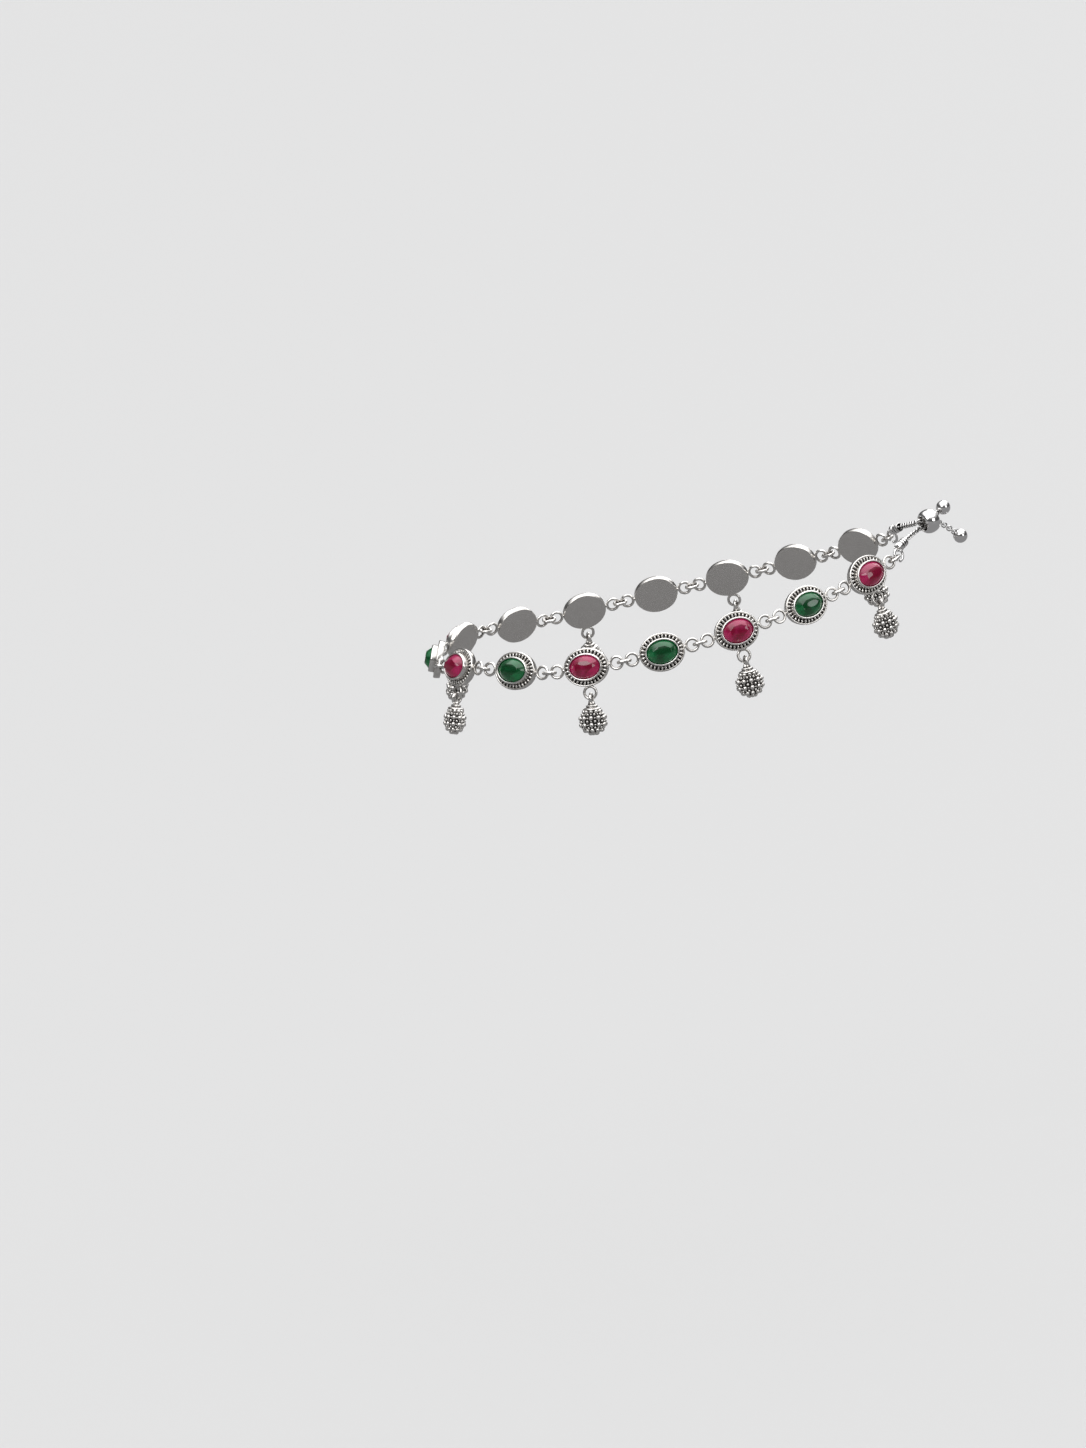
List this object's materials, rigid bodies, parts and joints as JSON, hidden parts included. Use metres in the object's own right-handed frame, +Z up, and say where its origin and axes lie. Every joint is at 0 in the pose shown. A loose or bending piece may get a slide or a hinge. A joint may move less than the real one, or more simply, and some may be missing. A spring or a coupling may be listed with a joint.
{
  "type": "payal anklet",
  "caption": "Payal anklet: oval ruby red and green stones in grain-edged silver settings linked in a loop, berry drops, and a sliding bead clasp at the heel.",
  "frame": {"origin": "the middle of the loop, where the ankle goes through", "axes": "+X to the heel and the clasp, +Z up as worn, +Y to the far side of the ankle"},
  "size_m": [0.1144, 0.0705, 0.0462],
  "materials": {
    "oxidised_silver": "cast silver, oxidised black in the recesses, polished on the high edges",
    "polished_silver": "bright polish",
    "ruby_red": "faceted, milky translucent, glossy",
    "stone_green": "faceted, milky translucent, glossy"
  },
  "bodies": {
    "root": {"setting_1": "oxidised_silver", "ruby_stone_1": "ruby_red", "berry_drop_1": "oxidised_silver", "setting_2": "oxidised_silver", "green_stone_2": "stone_green", "setting_3": "oxidised_silver", "ruby_stone_3": "ruby_red", "berry_drop_3": "oxidised_silver", "setting_4": "oxidised_silver", "green_stone_4": "stone_green", "setting_5": "oxidised_silver", "ruby_stone_5": "ruby_red", "berry_drop_5": "oxidised_silver", "setting_6": "oxidised_silver", "green_stone_6": "stone_green", "setting_7": "oxidised_silver", "ruby_stone_7": "ruby_red", "berry_drop_7": "oxidised_silver", "setting_8": "oxidised_silver", "green_stone_8": "stone_green", "setting_9": "oxidised_silver", "ruby_stone_9": "ruby_red", "berry_drop_9": "oxidised_silver", "setting_10": "oxidised_silver", "green_stone_10": "stone_green", "setting_11": "oxidised_silver", "ruby_stone_11": "ruby_red", "berry_drop_11": "oxidised_silver", "setting_12": "oxidised_silver", "green_stone_12": "stone_green", "setting_13": "oxidised_silver", "ruby_stone_13": "ruby_red", "berry_drop_13": "oxidised_silver", "setting_14": "oxidised_silver", "green_stone_14": "stone_green", "setting_15": "oxidised_silver", "ruby_stone_15": "ruby_red", "berry_drop_15": "oxidised_silver", "near_link_1": "oxidised_silver", "near_link_2": "oxidised_silver", "near_link_3": "oxidised_silver", "near_link_4": "oxidised_silver", "near_link_5": "oxidised_silver", "near_link_6": "oxidised_silver", "near_link_7": "oxidised_silver", "near_link_8": "oxidised_silver", "far_link_8": "oxidised_silver", "far_link_9": "oxidised_silver", "far_link_10": "oxidised_silver", "far_link_11": "oxidised_silver", "far_link_12": "oxidised_silver", "far_link_13": "oxidised_silver", "far_link_14": "oxidised_silver", "far_link_15": "oxidised_silver", "near_end_cap": "polished_silver", "far_end_cap": "polished_silver", "near_chain": "polished_silver", "far_chain": "polished_silver", "slider_bead": "polished_silver"}
  },
  "joints": []
}
